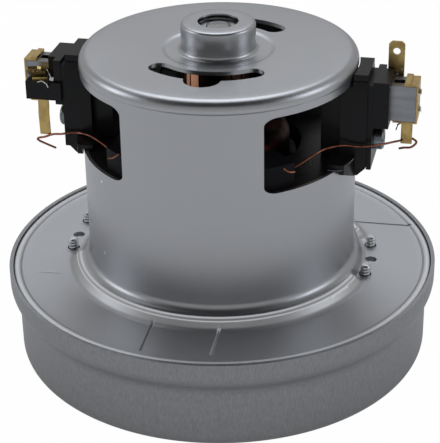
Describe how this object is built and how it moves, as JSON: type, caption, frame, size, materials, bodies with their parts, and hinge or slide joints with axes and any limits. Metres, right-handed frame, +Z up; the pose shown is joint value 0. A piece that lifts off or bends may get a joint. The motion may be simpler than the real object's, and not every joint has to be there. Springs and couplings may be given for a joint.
{
  "type": "vacuum cleaner suction motor",
  "caption": "Universal suction motor for a canister vacuum: a drawn steel can with a round flange on a wide fan cover, brush holders on both sides and a bearing boss on top.",
  "frame": {"origin": "centre of the flat underside of the fan cover, which is the part's lowest plane", "axes": "+Z up along the shaft towards the bearing boss; +X along the brush axis, towards the holder whose terminal stands upright"},
  "size_m": [0.13, 0.13, 0.104],
  "materials": {
    "zinc_steel": "satin zinc-plated drawn steel",
    "spangle_steel": "galvanised sheet with a faint vertical spangle",
    "bracket_steel": "pressed steel",
    "screw_steel": "bright zinc",
    "bearing_steel": "ground bearing steel",
    "shaft_steel": "ground steel",
    "fan_alu": "pressed aluminium sheet",
    "guide_plastic": "moulded, satin",
    "holder_plastic": "moulded thermoset, satin black",
    "lamination": "stacked electrical sheet",
    "copper_enamel": "enamelled copper under varnish",
    "coil_wrap": "black insulating wrap over the coil",
    "lead_wire": "enamelled copper wire",
    "copper": "turned copper",
    "hub_resin": "moulded resin",
    "carbon": "pressed carbon",
    "tube_steel": "galvanised sheet",
    "brass": "rolled brass",
    "spring_steel": "spring wire"
  },
  "bodies": {
    "frame": {"motor_can": "zinc_steel", "fan_cover": "spangle_steel", "end_bracket": "bracket_steel", "bracket_screw_1": "screw_steel", "bracket_screw_2": "screw_steel", "bracket_screw_3": "screw_steel", "bracket_screw_4": "screw_steel", "lower_bearing_outer": "bearing_steel", "upper_bearing_outer": "bearing_steel", "wave_washer": "spring_steel", "diffuser": "guide_plastic", "stator_core": "lamination", "field_coil_front": "coil_wrap", "field_coil_back": "coil_wrap", "coil_frame": "holder_plastic", "brush_holder_right": "holder_plastic", "brush_tube_right": "tube_steel", "brush_spring_right": "spring_steel", "end_clip_right": "brass", "lead_clip_right": "brass", "holder_screw_right": "screw_steel", "terminal_right": "brass", "brush_holder_left": "holder_plastic", "brush_tube_left": "tube_steel", "brush_spring_left": "spring_steel", "end_clip_left": "brass", "lead_clip_left": "brass", "holder_screw_left": "screw_steel", "terminal_left": "brass", "field_lead_right": "lead_wire", "field_lead_left": "lead_wire"},
    "armature": {"shaft": "shaft_steel", "lower_bearing_inner": "bearing_steel", "upper_bearing_inner": "bearing_steel", "fan_front_plate": "fan_alu", "fan_back_plate": "fan_alu", "fan_blades": "fan_alu", "fan_washer": "screw_steel", "lock_nut": "screw_steel", "fan_spacer": "shaft_steel", "armature_core": "lamination", "armature_winding": "copper_enamel", "commutator_bars": "copper", "commutator_hub": "hub_resin"},
    "brush_right": {"carbon_brush_right": "carbon"},
    "brush_left": {"carbon_brush_left": "carbon"}
  },
  "joints": [
    {"name": "armature_spin", "type": "hinge", "parent": "frame", "child": "armature", "pos_m": [0, 0, 0.05], "axis": [0, 0, 1], "continuous": true},
    {"name": "brush_slide_right", "type": "slide", "parent": "frame", "child": "brush_right", "axis": [1, 0, 0], "range_m": [0, 0.006], "stiffness_N_per_m": 150, "springref_m": -0.006, "deforming": ["brush_spring_right"]},
    {"name": "brush_slide_left", "type": "slide", "parent": "frame", "child": "brush_left", "axis": [-1, 0, 0], "range_m": [0, 0.006], "stiffness_N_per_m": 150, "springref_m": -0.006, "deforming": ["brush_spring_left"]}
  ]
}
